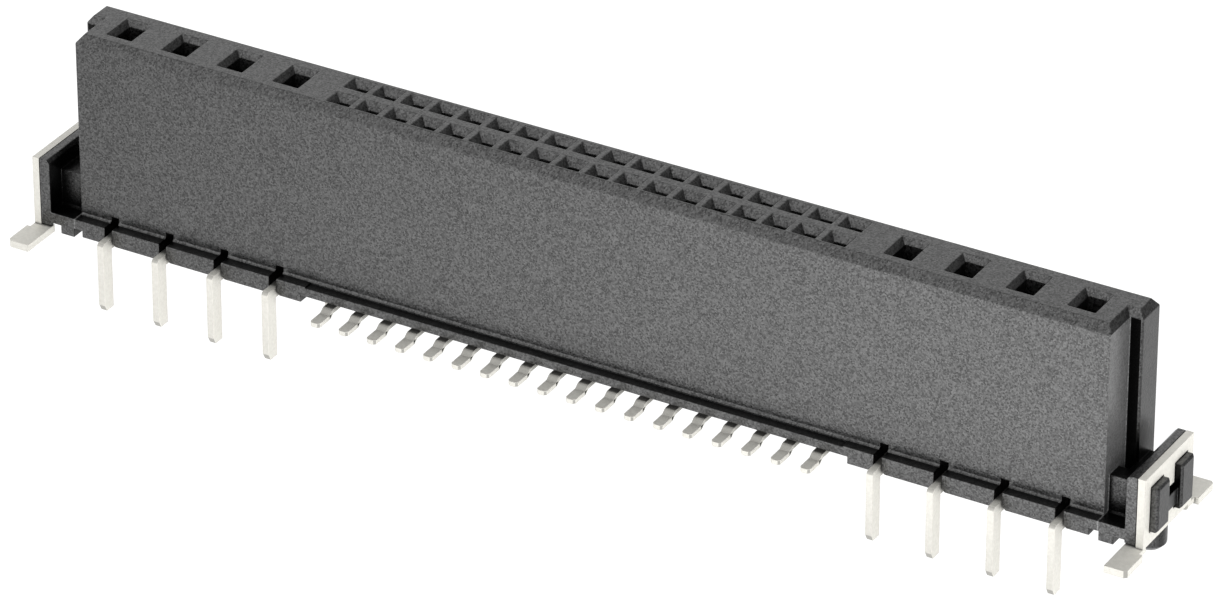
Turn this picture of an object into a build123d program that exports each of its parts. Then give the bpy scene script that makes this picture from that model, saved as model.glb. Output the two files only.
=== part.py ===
from build123d import *
import os

# Receptacle strip for a circuit board, in millimetres.
# X runs along the strip, Y from front to back, and Z = 0 is the top of the board.
# The origin is midway between the two socket rows, at the middle of the strip.

# Contact layout
signal_columns = 18
signal_pitch = 1.27
row_spacing = 1.27
power_per_end = 4
power_pitch = 2.54
power_start_gap = 2.54

# Housing body
body_top = 8.93
body_depth = 2.96
front_block_margin = 1.575
polarising_step = 0.53
step_y = 0.10
front_bevel = 0.34
top_bevel = 0.24
bevel_drop = 0.32
foot_bevel = 0.08
step_corner = 0.08

# Flange below the body
flange_depth = 4.00
signal_flange_top = 0.92
power_flange_top = 0.97
flange_step_margin = 1.05
signal_seat = 0.55
power_seat = 0.25
power_block_inset = 0.34
power_seat_margin = 1.255
notch_corner = 0.13
tunnel_rise = 0.25

# Ends of the housing
web_length = 0.58
web_depth = 2.34
web_top = 2.55
web_seat = 0.50
pocket_length = 0.47
pocket_depth = 0.52
pocket_floor = 2.00
wall_thickness = 0.46
wall_top = 3.28
wall_bevel = 0.14
wall_seat = 0.38
standoff_width = 0.62
standoff_inset = 0.04
standoff_seat = 0.15
gap_seat = 0.54

# H-shaped block on each end wall
bar_width = 1.00
bar_gap = 1.00
bar_bottom = 0.82
bar_top = 2.72
bar_reach = 0.635
bar_bevel = 0.08
crossbar_bottom = 1.05
crossbar_top = 1.70
crossbar_reach = 0.45

# Locating pegs
peg_radius = 0.65
peg_inset = 0.75
peg_y = 0.85
peg_tip = -1.30
peg_bevel = 0.20

# Signal sockets
signal_mouth_x = 1.04
signal_mouth_y = 0.87
signal_mouth_drop = 0.39
signal_throat_x = 0.50
signal_throat_y = 0.36
signal_throat_drop = 0.35

# Power sockets
power_mouth_x = 1.18
power_mouth_y = 1.54
power_mouth_drop = 0.36
power_throat_x = 0.86
power_throat_y = 1.20
power_throat_drop = 0.50

# Signal contact, a bent strip
strip_thickness = 0.20
strip_width = 0.44
foot_tip_y = 3.04
foot_heel_y = 2.22
shin_top_y = 2.00
foot_corner = 0.10
bend_radius = 0.16
beam_spread = 0.36
beam_pinch = 0.16
beam_flare = 0.10
pinch_drop = 0.55

# Power contact, a flat stamping
blade_thickness = 0.28
tail_front_y = 2.61
tail_width = 0.62
tail_tip = -2.46
tail_bevel_y = 0.15
tail_bevel_z = 0.28
arm_top = 0.60
arm_bottom = 0.12
arm_shoulder_radius = 0.18
fork_width = 1.66
fork_root = 2.60
fork_slot = 0.50
fork_pinch = 0.30
tine_tip_width = 1.30
fork_flare = 0.14

# Hold-down clip, a bent plate
clip_thickness = 0.30
clip_bottom = 0.28
clip_bend_radius = 0.14
pad_root = 0.25
pad_neck = 0.33
pad_span = 1.67
pad_reach = 0.16
pad_tail = 0.47
pad_corner = 0.12
tongue_bottom = 1.95

# Clearances
well_clearance = 0.03
beam_clearance = 0.05
tip_clearance = 0.20
run_clearance = 0.19
blade_clearance = 0.03
clip_clearance = 0.02
window_clearance = 0.04

# Places worked out from the sizes above
signal_end_x = (signal_columns - 1) / 2 * signal_pitch
power_first_x = signal_end_x + power_start_gap
power_end_x = power_first_x + (power_per_end - 1) * power_pitch
front_block_x = power_end_x + front_block_margin
rear_block_x = front_block_x + polarising_step
wall_inner_x = rear_block_x + web_length
wall_outer_x = wall_inner_x + wall_thickness
clip_inner_x = wall_outer_x + clip_clearance
clip_outer_x = clip_inner_x + clip_thickness
peg_x = wall_outer_x - peg_inset
pad_inner_y = flange_depth / 2 - pad_root
pad_neck_y = flange_depth / 2 + pad_neck
pad_tip_y = flange_depth / 2 + pad_span

signal_well_x = strip_width + 2 * well_clearance
signal_well_y = 2 * strip_thickness + beam_spread + 2 * beam_clearance
signal_ceiling = body_top - signal_mouth_drop - signal_throat_drop
beam_tip = signal_ceiling - tip_clearance
power_well_x = power_throat_x
power_well_y = fork_width + 2 * beam_clearance
power_ceiling = body_top - power_mouth_drop - power_throat_drop
fork_tip = power_ceiling - tip_clearance
run_height = signal_seat - run_clearance - strip_thickness / 2


def signal_positions():
    return [(i - (signal_columns - 1) / 2) * signal_pitch for i in range(signal_columns)]


def power_positions():
    right = [power_first_x + i * power_pitch for i in range(power_per_end)]
    left = [-x for x in reversed(right)]
    return left + right


def box(x0, x1, y0, y1, z0, z1):
    centre = ((x0 + x1) / 2, (y0 + y1) / 2, (z0 + z1) / 2)
    return Pos(*centre) * Box(x1 - x0, y1 - y0, z1 - z0)


def side_profile(points, x0, x1):
    """A closed outline in Y and Z, extruded along X."""
    face = Plane.YZ * make_face(Polyline(*points, close=True))
    return Pos(x0, 0, 0) * extrude(face, amount=x1 - x0, dir=(1, 0, 0))


def front_profile(points, y0, y1):
    """A closed outline in X and Z, extruded along Y."""
    face = Plane.XZ * make_face(Polyline(*points, close=True))
    return Pos(0, y0, 0) * extrude(face, amount=y1 - y0, dir=(0, 1, 0))


def both_ends(shape):
    return [shape, mirror(shape, about=Plane.YZ)]


def both_sides(shape):
    return [shape, mirror(shape, about=Plane.XZ)]


# Housing: the tall body
def body_block(face_y, bevel, half_length):
    """One block of the body: a section with a bevelled top and a small flare at its foot."""
    out = 1 if face_y > 0 else -1
    points = [
        (step_y, signal_seat),
        (face_y, signal_seat),
        (face_y + out * foot_bevel, power_flange_top),
        (face_y, power_flange_top + foot_bevel),
        (face_y, body_top - bevel_drop),
        (face_y - out * bevel, body_top),
        (step_y, body_top),
    ]
    return side_profile(points, -half_length, half_length)


def body():
    front = body_block(-body_depth / 2, front_bevel, front_block_x)
    rear = body_block(body_depth / 2, top_bevel, rear_block_x)
    blocks = front + rear
    top = blocks.faces().sort_by(Axis.Z)[-1]
    end_edges = [e for e in top.edges() if abs(e.center().X) > front_block_x - top_bevel]
    blocks = chamfer(end_edges, length=top_bevel, length2=bevel_drop, reference=top)
    upright = blocks.edges().filter_by(Axis.Z)
    step_edges = upright.filter_by_position(Axis.Y, step_y - step_corner, step_y + step_corner)
    groups = step_edges.group_by(Axis.X)
    return chamfer(groups[0] + groups[-1], step_corner)


# Housing: flange, webs and end walls
def flange():
    """The low base and both end walls, drawn as half of the front view and mirrored."""
    signal_x = signal_end_x + power_seat_margin
    step_x = signal_end_x + flange_step_margin
    block_x = front_block_x - power_block_inset
    standoff_x = front_block_x + standoff_inset
    standoff_end = standoff_x + standoff_width
    points = [
        (0, signal_seat),
        (signal_x, signal_seat),
        (signal_x, power_seat),
        (block_x, power_seat),
        (block_x, gap_seat),
        (standoff_x, gap_seat),
        (standoff_x, standoff_seat),
        (standoff_end, standoff_seat),
        (standoff_end, web_seat),
        (wall_inner_x, web_seat),
        (wall_inner_x, wall_seat),
        (wall_outer_x, wall_seat),
        (wall_outer_x, wall_top),
        (wall_inner_x + wall_bevel, wall_top),
        (wall_inner_x, wall_top - wall_bevel),
        (wall_inner_x, power_flange_top),
        (step_x, power_flange_top),
        (step_x, signal_flange_top),
        (0, signal_flange_top),
    ]
    half = front_profile(points, -flange_depth / 2, flange_depth / 2)
    return both_ends(half)


def web():
    """The low block between the body and an end wall, with a small flare at its foot."""
    y = web_depth / 2
    points = [
        (-y, web_seat),
        (-y - foot_bevel, power_flange_top),
        (-y, power_flange_top + foot_bevel),
        (-y, web_top),
        (y, web_top),
        (y, power_flange_top + foot_bevel),
        (y + foot_bevel, power_flange_top),
        (y, web_seat),
    ]
    return both_ends(side_profile(points, front_block_x - power_block_inset, wall_inner_x))


def pocket():
    """The small deep pocket in the web, in front of the step."""
    return both_ends(
        box(
            front_block_x,
            front_block_x + pocket_length,
            step_y - pocket_depth,
            step_y,
            pocket_floor,
            web_top,
        )
    )


def wall_block():
    """The H that stands out of each end wall: two bevelled bars and a lower crossbar."""
    bar = box(
        wall_outer_x,
        wall_outer_x + bar_reach,
        bar_gap / 2,
        bar_gap / 2 + bar_width,
        bar_bottom,
        bar_top,
    )
    outer_face = bar.faces().sort_by(Axis.X)[-1]
    bar = chamfer(outer_face.edges(), bar_bevel)
    crossbar = box(
        wall_outer_x,
        wall_outer_x + crossbar_reach,
        -bar_gap / 2,
        bar_gap / 2,
        crossbar_bottom,
        crossbar_top,
    )
    return [s for piece in both_sides(bar) + [crossbar] for s in both_ends(piece)]


def peg():
    length = web_seat - peg_tip
    post = Pos(peg_x, peg_y, peg_tip + length / 2) * Cylinder(peg_radius, length)
    tip = post.faces().sort_by(Axis.Z)[0]
    return both_ends(chamfer(tip.edges(), peg_bevel))


# Housing: sockets and contact passages
def tapered_outline(mouth, throat, throat_top):
    return [
        (-mouth / 2, body_top),
        (mouth / 2, body_top),
        (throat / 2, throat_top),
        (-throat / 2, throat_top),
    ]


def socket(mouth_x, mouth_y, drop, throat_x, throat_y, ceiling, well_x, well_y):
    """The room of one contact: a funnel mouth, a throat and a well open at the bottom."""
    throat_top = body_top - drop
    funnel = front_profile(
        tapered_outline(mouth_x, throat_x, throat_top), -mouth_y / 2, mouth_y / 2
    ) & side_profile(
        tapered_outline(mouth_y, throat_y, throat_top), -mouth_x / 2, mouth_x / 2
    )
    throat = box(-throat_x / 2, throat_x / 2, -throat_y / 2, throat_y / 2, ceiling, throat_top)
    well = box(-well_x / 2, well_x / 2, -well_y / 2, well_y / 2, 0, ceiling)
    return [funnel, throat, well]


def signal_sockets():
    pieces = socket(
        signal_mouth_x,
        signal_mouth_y,
        signal_mouth_drop,
        signal_throat_x,
        signal_throat_y,
        signal_ceiling,
        signal_well_x,
        signal_well_y,
    )
    places = [(x, y) for x in signal_positions() for y in (-row_spacing / 2, row_spacing / 2)]
    return [Pos(x, y, 0) * piece for x, y in places for piece in pieces]


def power_sockets():
    pieces = socket(
        power_mouth_x,
        power_mouth_y,
        power_mouth_drop,
        power_throat_x,
        power_throat_y,
        power_ceiling,
        power_well_x,
        power_well_y,
    )
    return [Pos(x, 0, 0) * piece for x in power_positions() for piece in pieces]


def tail_passages():
    """The notch through the flange and the low tunnel into the well, for each power contact."""
    half = blade_thickness / 2 + blade_clearance
    notch_y = body_depth / 2
    corner = notch_corner
    outline = [
        (-half - corner, power_seat),
        (half + corner, power_seat),
        (half, power_seat + corner),
        (half, power_flange_top),
        (-half, power_flange_top),
        (-half, power_seat + corner),
    ]
    notch = front_profile(outline, notch_y, flange_depth / 2)
    tunnel = box(-half, half, 0, notch_y + foot_bevel, 0, power_flange_top + tunnel_rise)
    passages = both_sides(notch) + both_sides(tunnel)
    return [Pos(x, 0, 0) * piece for x in power_positions() for piece in passages]


def housing():
    solid = body() + flange() + web() + wall_block() + peg()
    solid -= pocket()
    solid -= signal_sockets()
    solid -= power_sockets()
    solid -= tail_passages()
    return solid


# Contacts
def bent_strip(points, radii, width):
    """A strip of constant thickness, swept along a bent centre line in Y and Z."""
    line = FilletPolyline(*[(0, y, z) for y, z in points], radius=radii)
    section = Plane(origin=line @ 0, x_dir=(1, 0, 0), z_dir=line % 0)
    return sweep(section * Rectangle(width, strip_thickness), path=line)


def beam_points(side):
    """The centre line of one spring beam, on the inner (1) or outer (-1) side of the well."""
    centre = -row_spacing / 2
    base = (beam_spread + strip_thickness) / 2
    pinch = (beam_pinch + strip_thickness) / 2
    return [
        (centre + side * base, run_height),
        (centre + side * pinch, beam_tip - pinch_drop),
        (centre + side * (pinch + beam_flare), beam_tip),
    ]


def signal_contact():
    """A front-row contact at X = 0: foot, shin, run under the body and two beams."""
    foot = [
        (-foot_tip_y, strip_thickness / 2),
        (-foot_heel_y, strip_thickness / 2),
        (-shin_top_y, run_height),
    ]
    leg = bent_strip(foot + beam_points(1), [bend_radius, bend_radius, 0, 0], strip_width)
    outer_beam = bent_strip(beam_points(-1), 0, strip_width)
    contact = leg + outer_beam
    tip = [
        e
        for e in contact.edges().filter_by(Axis.Z)
        if abs(e.center().Y + foot_tip_y) < foot_corner / 2
    ]
    return chamfer(tip, foot_corner)


def power_contact():
    """A power contact at X = 0: a flat fork with a solder tail in front and behind."""
    root = fork_width / 2
    half = [
        (0, arm_bottom),
        (tail_front_y - tail_width, arm_bottom),
        (tail_front_y - tail_width, tail_tip),
        (tail_front_y - tail_bevel_y, tail_tip),
        (tail_front_y, tail_tip + tail_bevel_z),
        (tail_front_y, arm_top),
        (root, arm_top),
        (root, fork_root),
        (tine_tip_width / 2, fork_tip - pinch_drop),
        (tine_tip_width / 2, fork_tip),
        (fork_pinch / 2 + fork_flare, fork_tip),
        (fork_pinch / 2, fork_tip - pinch_drop),
        (fork_slot / 2, fork_root),
        (0, fork_root),
    ]
    blade = side_profile(half, -blade_thickness / 2, blade_thickness / 2)
    shoulder = blade.edges().filter_by(Axis.X).group_by(Axis.Y)[-1].sort_by(Axis.Z)[-1]
    blade = fillet(shoulder, arm_shoulder_radius)
    return blade + mirror(blade, about=Plane.XZ)


# Hold-down clips
def window():
    """The opening in the clip that the H passes through, with a tongue between the bars."""
    c = window_clearance
    x0 = clip_inner_x - clip_thickness
    x1 = clip_outer_x + clip_thickness
    y0 = bar_gap / 2 - c
    y1 = bar_gap / 2 + bar_width + c
    slot = box(x0, x1, y0, y1, bar_bottom - c, bar_top + c)
    middle = box(x0, x1, -y0, y0, crossbar_bottom - c, tongue_bottom)
    return both_sides(slot) + [middle]


def pad_outline():
    """One solder foot, seen from above, from under the end wall out to its tip."""
    x0 = clip_inner_x - pad_tail
    x2 = clip_outer_x + pad_reach
    return [
        (x0, pad_inner_y),
        (clip_outer_x, pad_inner_y),
        (clip_outer_x, pad_neck_y),
        (x2, pad_neck_y),
        (x2, pad_tip_y - pad_corner),
        (x2 - pad_corner, pad_tip_y),
        (x0, pad_tip_y),
    ]


def clip():
    """The right-hand clip: an upright plate with a window and two feet."""
    half = flange_depth / 2
    plate = box(clip_inner_x, clip_outer_x, -half, half, clip_bottom, wall_top)
    corner = box(clip_inner_x, clip_outer_x, pad_inner_y, half, 0, clip_bottom)
    pad = extrude(make_face(Polyline(*pad_outline(), close=True)), amount=clip_thickness)
    clip_solid = plate + both_sides(corner) + both_sides(pad)
    folds = clip_solid.edges().filter_by(Axis.Y).group_by(Axis.Z)[0].filter_by_position(
        Axis.X, clip_outer_x - clip_bend_radius, clip_outer_x + clip_bend_radius
    )
    return fillet(folds, clip_bend_radius) - window()


def write(name, shape):
    export_step(shape, f"parts/{name}.step")


def main():
    os.makedirs("parts", exist_ok=True)
    write("housing", housing())
    front = signal_contact()
    back = Rot(0, 0, 180) * front
    for number, x in enumerate(signal_positions(), start=1):
        write(f"signal_contact_front_{number:02d}", Pos(x, 0, 0) * front)
        write(f"signal_contact_back_{number:02d}", Pos(x, 0, 0) * back)
    blade = power_contact()
    for number, x in enumerate(power_positions(), start=1):
        write(f"power_contact_{number}", Pos(x, 0, 0) * blade)
    right, left = both_ends(clip())
    write("hold_down_right", right)
    write("hold_down_left", left)


main()
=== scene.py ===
import math

import bmesh
import bpy
import numpy as np
from mathutils import Matrix, Vector

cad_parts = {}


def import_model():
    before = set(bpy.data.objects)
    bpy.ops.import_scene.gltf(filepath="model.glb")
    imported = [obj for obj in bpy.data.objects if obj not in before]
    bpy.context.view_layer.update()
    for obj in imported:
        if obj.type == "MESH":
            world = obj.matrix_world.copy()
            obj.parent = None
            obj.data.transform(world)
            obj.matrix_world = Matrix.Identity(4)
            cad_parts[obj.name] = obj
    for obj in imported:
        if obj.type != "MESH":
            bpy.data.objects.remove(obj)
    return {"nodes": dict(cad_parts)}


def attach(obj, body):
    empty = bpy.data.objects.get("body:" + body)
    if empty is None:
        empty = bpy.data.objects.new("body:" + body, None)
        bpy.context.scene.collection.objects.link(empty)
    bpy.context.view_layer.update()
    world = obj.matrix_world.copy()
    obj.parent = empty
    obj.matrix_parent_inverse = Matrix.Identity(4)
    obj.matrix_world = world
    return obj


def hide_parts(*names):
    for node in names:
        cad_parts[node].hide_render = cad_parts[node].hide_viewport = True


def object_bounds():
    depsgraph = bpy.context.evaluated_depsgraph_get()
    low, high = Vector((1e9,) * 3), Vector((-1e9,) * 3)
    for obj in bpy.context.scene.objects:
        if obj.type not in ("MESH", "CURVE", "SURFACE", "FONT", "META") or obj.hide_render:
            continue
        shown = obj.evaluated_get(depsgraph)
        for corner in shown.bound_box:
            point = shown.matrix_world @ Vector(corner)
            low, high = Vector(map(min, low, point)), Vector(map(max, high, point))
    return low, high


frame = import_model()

cadLow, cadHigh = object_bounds()
mm = 0.001
print("solids loaded:", len(frame["nodes"]))


# Node tree helpers
def newMaterial(name):
    material = bpy.data.materials.new(name)
    material.use_nodes = True
    tree = material.node_tree
    shader = tree.nodes["Principled BSDF"]
    return material, tree, shader


def addNode(tree, kind, **settings):
    node = tree.nodes.new(kind)
    for key, value in settings.items():
        setattr(node, key, value)
    return node


def objectPosition(tree):
    return addNode(tree, "ShaderNodeTexCoord").outputs["Object"]


# The X, Y and Z outputs of a vector
def parts(tree, vector):
    split = addNode(tree, "ShaderNodeSeparateXYZ")
    tree.links.new(vector, split.inputs["Vector"])
    return split.outputs


# The way each face points, as its X, Y and Z outputs
def faceDirection(tree):
    return parts(tree, addNode(tree, "ShaderNodeNewGeometry").outputs["True Normal"])


# Soft noise whose blobs are about featureSize metres across
def noise(tree, position, featureSize, detail):
    node = addNode(tree, "ShaderNodeTexNoise")
    node.inputs["Scale"].default_value = 1.0 / featureSize
    node.inputs["Detail"].default_value = detail
    tree.links.new(position, node.inputs["Vector"])
    return node.outputs["Fac"]


# A random level for each cell, with cells about grainSize metres across
def grains(tree, position, grainSize):
    node = addNode(tree, "ShaderNodeTexVoronoi")
    node.inputs["Scale"].default_value = 1.0 / grainSize
    tree.links.new(position, node.inputs["Vector"])
    return node.outputs["Color"]


# A colour ramp from (place, colour) pairs
def ramp(tree, factor, stops):
    node = addNode(tree, "ShaderNodeValToRGB")
    points = node.color_ramp.elements
    while len(points) < len(stops):
        points.new(0.5)
    for point, (place, colour) in zip(points, stops):
        point.position = place
        point.color = (*colour, 1.0)
    tree.links.new(factor, node.inputs["Fac"])
    return node.outputs["Color"]


# Carries a value from one range to another, and holds it at both ends
def mapRange(tree, value, fromMin, fromMax, toMin, toMax, smooth=False):
    node = addNode(tree, "ShaderNodeMapRange")
    node.interpolation_type = "SMOOTHERSTEP" if smooth else "LINEAR"
    ends = {"From Min": fromMin, "From Max": fromMax, "To Min": toMin, "To Max": toMax}
    for key, number in ends.items():
        node.inputs[key].default_value = number
    tree.links.new(value, node.inputs["Value"])
    return node.outputs["Result"]


# 1 where the value is past the edge, and 0 before it
def past(tree, value, edge, blend):
    return mapRange(tree, value, edge, edge + blend, 0.0, 1.0)


# 1 where the value is before the edge, and 0 past it
def before(tree, value, edge, blend):
    return mapRange(tree, value, edge, edge + blend, 1.0, 0.0)


# One step of arithmetic between fixed numbers and the outputs of other nodes
def calculate(tree, operation, first, second=0.0, third=0.0):
    node = addNode(tree, "ShaderNodeMath", operation=operation)
    for socket, value in zip(node.inputs, (first, second, third)):
        if isinstance(value, float):
            socket.default_value = value
        else:
            tree.links.new(value, socket)
    return node.outputs["Value"]


def product(tree, first, *others):
    for other in others:
        first = calculate(tree, "MULTIPLY", first, other)
    return first


def total(tree, first, *others):
    for other in others:
        first = calculate(tree, "ADD", first, other)
    return first


# A colour times a number
def scaled(tree, colour, factor):
    node = addNode(tree, "ShaderNodeVectorMath", operation="SCALE")
    tree.links.new(colour, node.inputs["Vector"])
    tree.links.new(factor, node.inputs["Scale"])
    return node.outputs["Vector"]


# The first colour where the share is 0, and the second where it is 1
def mixed(tree, share, first, second):
    node = addNode(tree, "ShaderNodeMix", data_type="RGBA")
    tree.links.new(share, node.inputs["Factor"])
    tree.links.new(first, node.inputs["A"])
    if isinstance(second, tuple):
        node.inputs["B"].default_value = (*second, 1.0)
    else:
        tree.links.new(second, node.inputs["B"])
    return node.outputs["Result"]


# How open a place is: 1 out in the open, less in a corner or under something
def openness(tree, reach, onlyLocal=False):
    node = addNode(tree, "ShaderNodeAmbientOcclusion", samples=8, only_local=onlyLocal)
    node.inputs["Distance"].default_value = reach
    return node.outputs["AO"]


# Softened edges with a fine grain on top
def grainNormal(tree, height, grainHeight, edgeRadius):
    edge = addNode(tree, "ShaderNodeBevel", samples=4)
    edge.inputs["Radius"].default_value = edgeRadius
    bump = addNode(tree, "ShaderNodeBump")
    bump.inputs["Distance"].default_value = grainHeight
    tree.links.new(height, bump.inputs["Height"])
    tree.links.new(edge.outputs["Normal"], bump.inputs["Normal"])
    return bump.outputs["Normal"]


def grey(value):
    return (value, value, value)


# Black glass-filled plastic: very dark resin with fine pale fibre ends in the skin
plasticLook = {
    "fibreSize": 0.062 * mm,
    "fibreRange": (0.12, 0.88),  # below the first a cell is all resin, above the second all fibre
    "colour": (0.000, 0.022),  # of the resin and of a fibre end
    "gloss": (0.40, 1.0),  # of the resin and of a fibre end
    "roughness": (0.25, 0.35),
    "patchSize": 0.70 * mm,
    "patchDetail": 3.0,
    "refraction": 1.59,
    "specular": 1.0,
    "grainHeight": 0.010 * mm,
    "grainSize": 0.085 * mm,
    "grainDetail": 2.0,
    "edgeRadius": 0.045 * mm,
    # Painted shade on the ledge, the polarising step and the faces that point along the strip
    "recessReach": 2.0 * mm,
    "recessShade": 0.03,
    "ledgeOpen": (0.56, 0.78),
    "ledgeHeight": 1.00 * mm,
    "stepFacing": (-0.95, -0.85),
    "stepHeight": 3.35 * mm,
    "stepX": 22.55 * mm,
    "endFacing": (0.6, 0.9),
    "endShade": 0.34,
    # Painted light: a paler base colour on the front block's end faces, where it starts and stops, and
    # its colour in resin and on a fibre
    "frontEndX": 22.50 * mm,
    "frontEndTop": 8.60 * mm,
    "frontEndPaintedLight": (0.062, 0.145),
    "blend": 0.02 * mm,
}


# Painted shade, put into the base colour and the gloss: the share of light that each place keeps,
# all of it on open faces, hardly any on the ledge, round the end webs and on the polarising step,
# and part of it on faces that point along the strip
def recessShade(tree, position):
    look = plasticLook
    blend = look["blend"]
    lost = look["recessShade"] - 1.0
    place = parts(tree, position)
    facing = faceDirection(tree)
    clearness = openness(tree, look["recessReach"], onlyLocal=True)
    beyond = past(tree, calculate(tree, "ABSOLUTE", place["X"]), look["stepX"], blend)
    low = before(tree, place["Z"], look["ledgeHeight"], blend)
    high = past(tree, place["Z"], look["stepHeight"], blend)
    stepFace = mapRange(tree, facing["Y"], *look["stepFacing"], 1.0, 0.0)
    ledgeLoss = mapRange(tree, clearness, *look["ledgeOpen"], lost, 0.0, smooth=True)
    ledgeZone = calculate(tree, "MAXIMUM", beyond, low)
    ledgeShade = calculate(tree, "MULTIPLY_ADD", ledgeZone, ledgeLoss, 1.0)
    stepShade = calculate(tree, "MULTIPLY_ADD", product(tree, beyond, high, stepFace), lost, 1.0)
    sideways = calculate(tree, "ABSOLUTE", facing["X"])
    endShade = mapRange(tree, sideways, *look["endFacing"], 1.0, look["endShade"])
    return product(tree, ledgeShade, stepShade, endShade)


# 1 on the end faces of the front block, which get painted light as a paler base colour
def frontEndLightMask(tree, position):
    look = plasticLook
    place = parts(tree, position)
    alongX = calculate(tree, "ABSOLUTE", place["X"])
    outside = past(tree, alongX, look["frontEndX"], look["blend"])
    inside = before(tree, alongX, look["stepX"], look["blend"])
    below = before(tree, place["Z"], look["frontEndTop"], look["blend"])
    return product(tree, outside, inside, below)


def plasticMaterial():
    look = plasticLook
    material, tree, shader = newMaterial("blackGlassFilledPlastic")
    position = objectPosition(tree)
    fibres = grains(tree, position, look["fibreSize"])
    shade = recessShade(tree, position)
    colour = ramp(tree, fibres, list(zip(look["fibreRange"], map(grey, look["colour"]))))
    gloss = ramp(tree, fibres, list(zip(look["fibreRange"], map(grey, look["gloss"]))))
    # Painted shade darkens the base colour and the gloss, and painted light makes the front block's
    # end faces paler
    paintedEndLight = ramp(tree, fibres, list(zip((0.0, 1.0), map(grey, look["frontEndPaintedLight"]))))
    colourWithPaintedLight = mixed(tree, frontEndLightMask(tree, position), scaled(tree, colour, shade), paintedEndLight)
    tree.links.new(colourWithPaintedLight, shader.inputs["Base Color"])
    tree.links.new(scaled(tree, gloss, shade), shader.inputs["Specular Tint"])
    patches = noise(tree, position, look["patchSize"], look["patchDetail"])
    rough = mapRange(tree, patches, 0.0, 1.0, *look["roughness"])
    tree.links.new(rough, shader.inputs["Roughness"])
    shader.inputs["IOR"].default_value = look["refraction"]
    shader.inputs["Specular IOR Level"].default_value = look["specular"]
    grain = noise(tree, position, look["grainSize"], look["grainDetail"])
    normal = grainNormal(tree, grain, look["grainHeight"], look["edgeRadius"])
    tree.links.new(normal, shader.inputs["Normal"])
    return material


# Tin plating on copper alloy, with gold on the contacts' beams and forks inside the sockets
metalLook = {
    "tin": ((0.63, 0.617, 0.570), (0.69, 0.677, 0.630)),  # the darker and the paler spots
    "tinRange": (0.35, 0.65),
    "gold": (0.85, 0.58, 0.22),
    "goldFrom": 1.60 * mm,
    "goldBlend": 0.30 * mm,
    "metallic": 0.38,
    "roughness": (0.52, 0.66),
    "grainSize": 0.12 * mm,
    "grainDetail": 3.0,
    "grainHeight": 0.004 * mm,
    "edgeRadius": 0.03 * mm,
    # Painted shade and light: how far the corner search reaches, how dark hidden places get, and how
    # much lighter or darker faces are by the way they point
    "contactReach": 1.3 * mm,
    "clipReach": 0.15 * mm,
    "hiddenOpen": (0.35, 0.97),
    "hiddenShade": 0.12,
    "hiddenFrom": -0.25 * mm,
    "hiddenBlend": 0.30 * mm,
    "sideFacing": (0.6, 0.9),
    "sideGain": 0.16,
    "frontFacing": (0.3, 0.9),
    "frontGain": -0.07,
    "slopeFacing": (0.2, 0.4),
    "slopeGain": -0.36,
    "cornerFacing": (-0.48, -0.42),
    "cornerGain": -0.52,
}


# Painted shade and painted light in the base colour: the share of light that each place keeps,
# little where it is hidden under the plastic, more on faces that point along the strip, and less on
# front faces, slopes and cut corners
def metalShade(tree, height, hiddenReach):
    look = metalLook
    lost = look["hiddenShade"] - 1.0
    clearness = openness(tree, hiddenReach)
    loss = mapRange(tree, clearness, *look["hiddenOpen"], lost, 0.0, smooth=True)
    above = past(tree, height, look["hiddenFrom"], look["hiddenBlend"])
    hidden = calculate(tree, "MULTIPLY_ADD", above, loss, 1.0)
    facing = faceDirection(tree)
    sideways = calculate(tree, "ABSOLUTE", facing["X"])
    forwards = calculate(tree, "ABSOLUTE", facing["Y"])
    tilt = calculate(tree, "ABSOLUTE", product(tree, facing["Y"], facing["Z"]))
    diagonal = product(tree, facing["X"], facing["Y"])
    gains = total(
        tree,
        mapRange(tree, forwards, *look["frontFacing"], 1.0, 1.0 + look["frontGain"]),
        mapRange(tree, sideways, *look["sideFacing"], 0.0, look["sideGain"]),
        mapRange(tree, tilt, *look["slopeFacing"], 0.0, look["slopeGain"]),
        mapRange(tree, diagonal, *look["cornerFacing"], look["cornerGain"], 0.0),
    )
    return product(tree, hidden, gains)


def metalMaterial(name, hiddenReach, goldBeams):
    look = metalLook
    material, tree, shader = newMaterial(name)
    position = objectPosition(tree)
    height = parts(tree, position)["Z"]
    grain = noise(tree, position, look["grainSize"], look["grainDetail"])
    colour = ramp(tree, grain, list(zip(look["tinRange"], look["tin"])))
    if goldBeams:
        upper = past(tree, height, look["goldFrom"], look["goldBlend"])
        colour = mixed(tree, upper, colour, look["gold"])
    # The base colour carries the painted shade and light
    shade = metalShade(tree, height, hiddenReach)
    tree.links.new(scaled(tree, colour, shade), shader.inputs["Base Color"])
    rough = mapRange(tree, grain, 0.0, 1.0, *look["roughness"])
    tree.links.new(rough, shader.inputs["Roughness"])
    shader.inputs["Metallic"].default_value = look["metallic"]
    normal = grainNormal(tree, grain, look["grainHeight"], look["edgeRadius"])
    tree.links.new(normal, shader.inputs["Normal"])
    return material


# Funnels of the sockets. Each pair is where the solid's throat stands, and where the photographed
# one does. At their foot the large wells close in on the contact, so no light comes up through them.
funnelLook = {
    "smallPitch": 1.27 * mm,
    "smallEnd": 12.0 * mm,
    "smallTop": (8.54 * mm, 8.60 * mm),
    "smallHalfY": (0.18 * mm, 0.23 * mm),
    "largePitch": 2.54 * mm,
    "largeFirst": 13.335 * mm,
    "largeTop": (8.57 * mm, 8.67 * mm),
    "largeHalfX": (0.43 * mm, 0.39 * mm),
    "largeHalfY": (0.60 * mm, 0.62 * mm),
    "largeFootZ": 0.25 * mm,
    "largeFootHalfX": 0.18 * mm,
    "lowest": 8.00 * mm,
    "near": 0.004 * mm,
}


def near(values, place):
    return np.abs(values - place) < funnelLook["near"]


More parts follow.
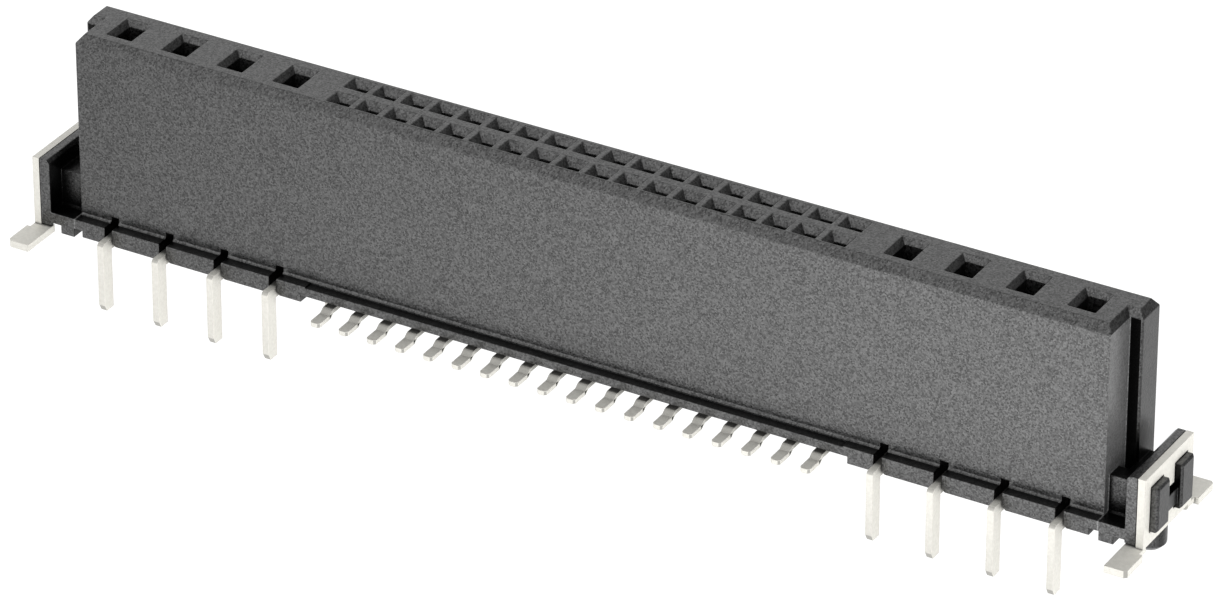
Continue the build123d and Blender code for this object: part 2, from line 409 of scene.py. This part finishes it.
# Moves the corners of the throats: a corner's offset from the middle of its socket is multiplied by
# the new half width over the old one, and its height is the new one. The foot of a large well is set
# beside the middle of its contact.
def shapeFunnels(points):
    look = funnelLook
    x, y, z = points.T.copy()
    deep = (z > look["lowest"]) & (z < look["largeTop"][0] + look["near"])
    small = deep & (np.abs(x) < look["smallEnd"])
    rowY = np.sign(y) * look["smallPitch"] / 2
    corner = small & near(np.abs(y - rowY), look["smallHalfY"][0])
    y = np.where(corner, rowY + (y - rowY) * look["smallHalfY"][1] / look["smallHalfY"][0], y)
    z = np.where(small & near(z, look["smallTop"][0]), look["smallTop"][1], z)
    large = deep & (np.abs(x) > look["smallEnd"])
    corner = large & near(np.abs(y), look["largeHalfY"][0])
    y = np.where(corner, y * look["largeHalfY"][1] / look["largeHalfY"][0], y)
    column = np.round((np.abs(x) - look["largeFirst"]) / look["largePitch"])
    columnX = np.sign(x) * (look["largeFirst"] + column * look["largePitch"])
    rim = large & near(z, look["largeTop"][0])
    ratio = look["largeHalfX"][1] / look["largeHalfX"][0]
    x = np.where(rim, columnX + (x - columnX) * ratio, x)
    z = np.where(rim, look["largeTop"][1], z)
    foot = (np.abs(x) > look["smallEnd"]) & near(z, look["largeFootZ"])
    foot &= near(np.abs(x - columnX), look["largeHalfX"][0])
    x = np.where(foot, columnX + np.sign(x - columnX) * look["largeFootHalfX"], x)
    return np.stack([x, y, z], axis=1)


# Skins: each solid's own surface, merged, with its edges rounded
skinLook = {
    "mergeWithin": 0.0005 * mm,
    "sharpFrom": 28.0,
    "housingEdge": 0.030 * mm,
    "metalEdge": 0.020 * mm,
    "segments": 2,
}


def makeSkin(nodeName, material, edge, shape=None, clamp=False):
    pieceName = nodeName + "_skin"
    mesh = frame["nodes"][nodeName].data.copy()
    mesh.name = pieceName
    if shape:
        points = np.empty(len(mesh.vertices) * 3)
        mesh.vertices.foreach_get("co", points)
        mesh.vertices.foreach_set("co", shape(points.reshape(-1, 3)).ravel())
    soup = bmesh.new()
    soup.from_mesh(mesh)
    bmesh.ops.remove_doubles(soup, verts=soup.verts, dist=skinLook["mergeWithin"])
    for face in soup.faces:
        face.smooth = False
    soup.to_mesh(mesh)
    soup.free()
    mesh.materials.clear()
    mesh.materials.append(material)
    piece = bpy.data.objects.new(pieceName, mesh)
    bpy.context.scene.collection.objects.link(piece)
    rounding = piece.modifiers.new("roundedEdges", "BEVEL")
    rounding.width = edge
    rounding.segments = skinLook["segments"]
    rounding.limit_method = "ANGLE"
    rounding.angle_limit = math.radians(skinLook["sharpFrom"])
    rounding.use_clamp_overlap = clamp
    rounding.harden_normals = True
    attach(piece, "root")
    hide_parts(nodeName)


plastic = plasticMaterial()
contactMetal = metalMaterial("tinPlateWithGoldBeams", metalLook["contactReach"], goldBeams=True)
clipMetal = metalMaterial("tinPlate", metalLook["clipReach"], goldBeams=False)
for nodeName in sorted(frame["nodes"]):
    if nodeName == "housing":
        makeSkin(nodeName, plastic, skinLook["housingEdge"], shapeFunnels)
    elif nodeName.startswith("hold_down"):
        makeSkin(nodeName, clipMetal, skinLook["metalEdge"], clamp=True)
    else:
        makeSkin(nodeName, contactMetal, skinLook["metalEdge"])
print("skins made and finished")


# The floor is a light table with a brighter pool in front of the strip, and the sky is a dim dome
# with large soft boxes in it
stageLook = {
    "floorHalf": 3.0,
    "floorColour": 0.10,
    "floorRoughness": 0.9,
    "floorSpecular": 0.1,
    "floorGlow": 1.04,
    "poolAlongX": ((-32 * mm, -0.30), (15 * mm, 1.22), (21 * mm, 1.32), (27 * mm, 0.20)),
    "poolFrontY": (-3 * mm, -10.5 * mm),
    "skyRange": (0.15, 0.95),
    "skyHorizon": 0.90,
    "skyOverhead": 0.68,
    "keyFrom": (0.10, -0.26, 0.10),
    "keySize": 0.16,
    "keyPower": 0.20,
}
# Each soft box: its direction, the angles in degrees where it is full and gone, its strength
softBoxes = {
    "rearLeft": ((-0.45, 0.75, 0.48), 12.0, 42.0, 0.16),
    "front": ((-0.20, -0.92, 0.34), 12.0, 50.0, 0.50),
    "right": ((0.96, -0.12, 0.22), 12.0, 48.0, 1.50),
    "frontLeftHigh": ((-0.43, -0.46, 0.76), 10.0, 30.0, 0.38),
    "rearRightFlag": ((0.60, 0.78, 0.18), 16.0, 45.0, -0.50),
}


def areaLight(name, place, size, power, target):
    light = bpy.data.lights.new(name, "AREA")
    light.shape = "DISK"
    light.size = size
    light.energy = power
    lamp = bpy.data.objects.new(name, light)
    lamp.location = place
    lamp.rotation_mode = "QUATERNION"
    lamp.rotation_quaternion = (target - Vector(place)).to_track_quat("-Z", "Y")
    bpy.context.scene.collection.objects.link(lamp)


def floorMaterial():
    look = stageLook
    material, tree, shader = newMaterial("paleFloor")
    shader.inputs["Base Color"].default_value = (*grey(look["floorColour"]), 1.0)
    shader.inputs["Roughness"].default_value = look["floorRoughness"]
    shader.inputs["Specular IOR Level"].default_value = look["floorSpecular"]
    shader.inputs["Emission Color"].default_value = (*grey(1.0), 1.0)
    place = parts(tree, objectPosition(tree))
    places, strengths = zip(*look["poolAlongX"])
    first, last = places[0], places[-1]
    peak = max(strengths)
    stops = [((x - first) / (last - first), grey(level / peak)) for x, level in look["poolAlongX"]]
    pool = ramp(tree, mapRange(tree, place["X"], first, last, 0.0, 1.0), stops)
    forwards = mapRange(tree, place["Y"], *look["poolFrontY"], 0.0, peak, smooth=True)
    glow = calculate(tree, "MULTIPLY_ADD", pool, forwards, look["floorGlow"])
    tree.links.new(glow, shader.inputs["Emission Strength"])
    return material


def makeFloor(height):
    half = stageLook["floorHalf"]
    corners = [(x, y, height) for x, y in ((-half, -half), (half, -half), (half, half), (-half, half))]
    mesh = bpy.data.meshes.new("studioFloor")
    mesh.from_pydata(corners, [], [(0, 1, 2, 3)])
    mesh.materials.append(floorMaterial())
    floor = bpy.data.objects.new("studioFloor", mesh)
    bpy.context.scene.collection.objects.link(floor)


# In the world's nodes the Object output is the direction that is looked in
def makeWorld():
    look = stageLook
    world = bpy.data.worlds.new("softStudio")
    world.use_nodes = True
    tree = world.node_tree
    direction = objectPosition(tree)
    upwards = parts(tree, direction)["Z"]
    light = mapRange(tree, upwards, *look["skyRange"], look["skyHorizon"], look["skyOverhead"])
    for towards, fullAngle, goneAngle, strength in softBoxes.values():
        facing = addNode(tree, "ShaderNodeVectorMath", operation="DOT_PRODUCT")
        facing.inputs[1].default_value = Vector(towards).normalized()
        tree.links.new(direction, facing.inputs[0])
        cosines = math.cos(math.radians(goneAngle)), math.cos(math.radians(fullAngle))
        box = mapRange(tree, facing.outputs["Value"], *cosines, 0.0, strength, smooth=True)
        light = total(tree, light, box)
    background = tree.nodes["Background"]
    background.inputs["Color"].default_value = (*grey(1.0), 1.0)
    tree.links.new(light, background.inputs["Strength"])
    bpy.context.scene.world = world


# The photograph's own camera, worked out from the socket grid and the body edges
cameraFit = {
    "place": (126.039 * mm, -217.836 * mm, 148.848 * mm),
    "forward": (-0.431212, 0.749827, -0.501813),
    "right": (0.866597, 0.499008, 0.000962),
    "focalPixels": 7621.6,
    "imageWidth": 1225,
    "sensor": 36.0,
    "clipStart": 0.01,
    "clipEnd": 20.0,
}


def makeCamera():
    fit = cameraFit
    data = bpy.data.cameras.new("photoCamera")
    data.sensor_width = fit["sensor"]
    data.sensor_fit = "HORIZONTAL"
    data.lens = fit["focalPixels"] * fit["sensor"] / fit["imageWidth"]
    data.clip_start = fit["clipStart"]
    data.clip_end = fit["clipEnd"]
    camera = bpy.data.objects.new("photoCamera", data)
    forward = Vector(fit["forward"]).normalized()
    right = Vector(fit["right"]).normalized()
    up = right.cross(forward).normalized()
    turn = Matrix((right, up, -forward)).transposed()
    camera.matrix_world = Matrix.Translation(fit["place"]) @ turn.to_4x4()
    bpy.context.scene.collection.objects.link(camera)
    bpy.context.scene.camera = camera


makeFloor(cadLow.z)
makeWorld()
centre = (cadLow + cadHigh) / 2
areaLight("keySoftbox", stageLook["keyFrom"], stageLook["keySize"], stageLook["keyPower"], centre)
makeCamera()
bpy.context.scene.view_settings.view_transform = "Standard"
print("stage set")
